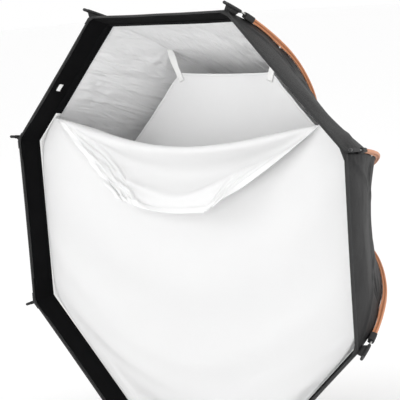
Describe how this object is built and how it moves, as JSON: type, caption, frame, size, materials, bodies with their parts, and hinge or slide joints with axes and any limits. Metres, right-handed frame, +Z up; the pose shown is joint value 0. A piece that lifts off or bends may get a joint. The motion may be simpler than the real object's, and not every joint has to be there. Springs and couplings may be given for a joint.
{
  "type": "octabox",
  "caption": "Deep eight-sided softbox on a speed ring: curved rods stretch a black shell with silver lining, inner baffle and front diffuser with its top let down.",
  "frame": {"origin": "on the box's axis, in the rear face of the bayonet insert, the face that seats on the light", "axes": "+Y to the rear, along the axis towards the light; the box opens towards -Y; +Z up; +X to the right seen from the front with +Z up, looking along +Y"},
  "size_m": [1.1704, 0.5951, 1.1704],
  "materials": {
    "shell_cloth": "black coated nylon outside, silver coated inside",
    "silver_lining": "silver coated cloth, crinkled",
    "diffuser_cloth": "white translucent nylon",
    "sleeve_cloth": "copper-orange woven tape",
    "webbing": "black woven webbing",
    "lip_cloth": "black cloth with hook-and-loop strip",
    "label_tape": "white woven tape, blank",
    "rod_steel": "spring steel, bright",
    "socket_steel": "zinc plated steel",
    "ring_metal": "black powder coat",
    "insert_metal": "turned aluminium",
    "knob_plastic": "black moulded plastic"
  },
  "bodies": {
    "insert": {"ring_insert": "insert_metal"},
    "box": {"shell_panel_1": "shell_cloth", "shell_panel_2": "shell_cloth", "shell_panel_3": "shell_cloth", "shell_panel_4": "shell_cloth", "shell_panel_5": "shell_cloth", "shell_panel_6": "shell_cloth", "shell_panel_7": "shell_cloth", "shell_panel_8": "shell_cloth", "rod_1": "rod_steel", "rod_2": "rod_steel", "rod_3": "rod_steel", "rod_4": "rod_steel", "rod_5": "rod_steel", "rod_6": "rod_steel", "rod_7": "rod_steel", "rod_8": "rod_steel", "rod_sleeve_1": "sleeve_cloth", "rod_sleeve_2": "sleeve_cloth", "rod_sleeve_3": "sleeve_cloth", "rod_sleeve_4": "sleeve_cloth", "rod_sleeve_5": "sleeve_cloth", "rod_sleeve_6": "sleeve_cloth", "rod_sleeve_7": "sleeve_cloth", "rod_sleeve_8": "sleeve_cloth", "corner_tab_1": "webbing", "corner_tab_2": "webbing", "corner_tab_3": "webbing", "corner_tab_4": "webbing", "corner_tab_5": "webbing", "corner_tab_6": "webbing", "corner_tab_7": "webbing", "corner_tab_8": "webbing", "sleeve_caps": "webbing", "rod_tip_caps": "knob_plastic", "front_hem": "shell_cloth", "front_lip": "lip_cloth", "loop_strip": "lip_cloth", "size_label": "label_tape", "rear_cuff": "shell_cloth", "inner_baffle": "diffuser_cloth", "baffle_straps": "diffuser_cloth", "speed_ring": "ring_metal", "rod_sockets": "socket_steel"},
    "diffuser": {"front_diffuser": "diffuser_cloth", "diffuser_hook_strip": "diffuser_cloth"},
    "lock_stud_1": {"lock_stud_1": "socket_steel"},
    "lock_knob_1": {"lock_knob_1": "knob_plastic"},
    "lock_stud_2": {"lock_stud_2": "socket_steel"},
    "lock_knob_2": {"lock_knob_2": "knob_plastic"},
    "lock_stud_3": {"lock_stud_3": "socket_steel"},
    "lock_knob_3": {"lock_knob_3": "knob_plastic"},
    "lock_stud_4": {"lock_stud_4": "socket_steel"},
    "lock_knob_4": {"lock_knob_4": "knob_plastic"}
  },
  "joints": [
    {"name": "box_turn", "type": "hinge", "parent": "insert", "child": "box", "pos_m": [0, 0, 0], "axis": [0, 1, 0], "continuous": true},
    {"name": "diffuser_off", "type": "slide", "parent": "box", "child": "diffuser", "axis": [0, -1, 0], "range_m": [0, 0.15]},
    {"name": "lock_1_travel", "type": "slide", "parent": "box", "child": "lock_stud_1", "axis": [1, 0, 0], "range_m": [0, 0.0041]},
    {"name": "lock_1_turn", "type": "hinge", "parent": "lock_stud_1", "child": "lock_knob_1", "pos_m": [0.1, -0.005, 0], "axis": [-1, 0, 0], "range_deg": [0, 1440]},
    {"name": "lock_2_travel", "type": "slide", "parent": "box", "child": "lock_stud_2", "axis": [0, 0, 1], "range_m": [0, 0.0041]},
    {"name": "lock_2_turn", "type": "hinge", "parent": "lock_stud_2", "child": "lock_knob_2", "pos_m": [0, -0.005, 0.1], "axis": [0, 0, -1], "range_deg": [0, 1440]},
    {"name": "lock_3_travel", "type": "slide", "parent": "box", "child": "lock_stud_3", "axis": [-1, 0, 0], "range_m": [0, 0.0041]},
    {"name": "lock_3_turn", "type": "hinge", "parent": "lock_stud_3", "child": "lock_knob_3", "pos_m": [-0.1, -0.005, 0], "axis": [1, 0, 0], "range_deg": [0, 1440]},
    {"name": "lock_4_travel", "type": "slide", "parent": "box", "child": "lock_stud_4", "axis": [0, 0, -1], "range_m": [0, 0.0041]},
    {"name": "lock_4_turn", "type": "hinge", "parent": "lock_stud_4", "child": "lock_knob_4", "pos_m": [0, -0.005, -0.1], "axis": [0, 0, 1], "range_deg": [0, 1440]}
  ],
  "couplings": [
    {"joint": "lock_1_travel", "follows": "lock_1_turn", "m_per_rad": 0.00015915},
    {"joint": "lock_2_travel", "follows": "lock_2_turn", "m_per_rad": 0.00015915},
    {"joint": "lock_3_travel", "follows": "lock_3_turn", "m_per_rad": 0.00015915},
    {"joint": "lock_4_travel", "follows": "lock_4_turn", "m_per_rad": 0.00015915}
  ]
}
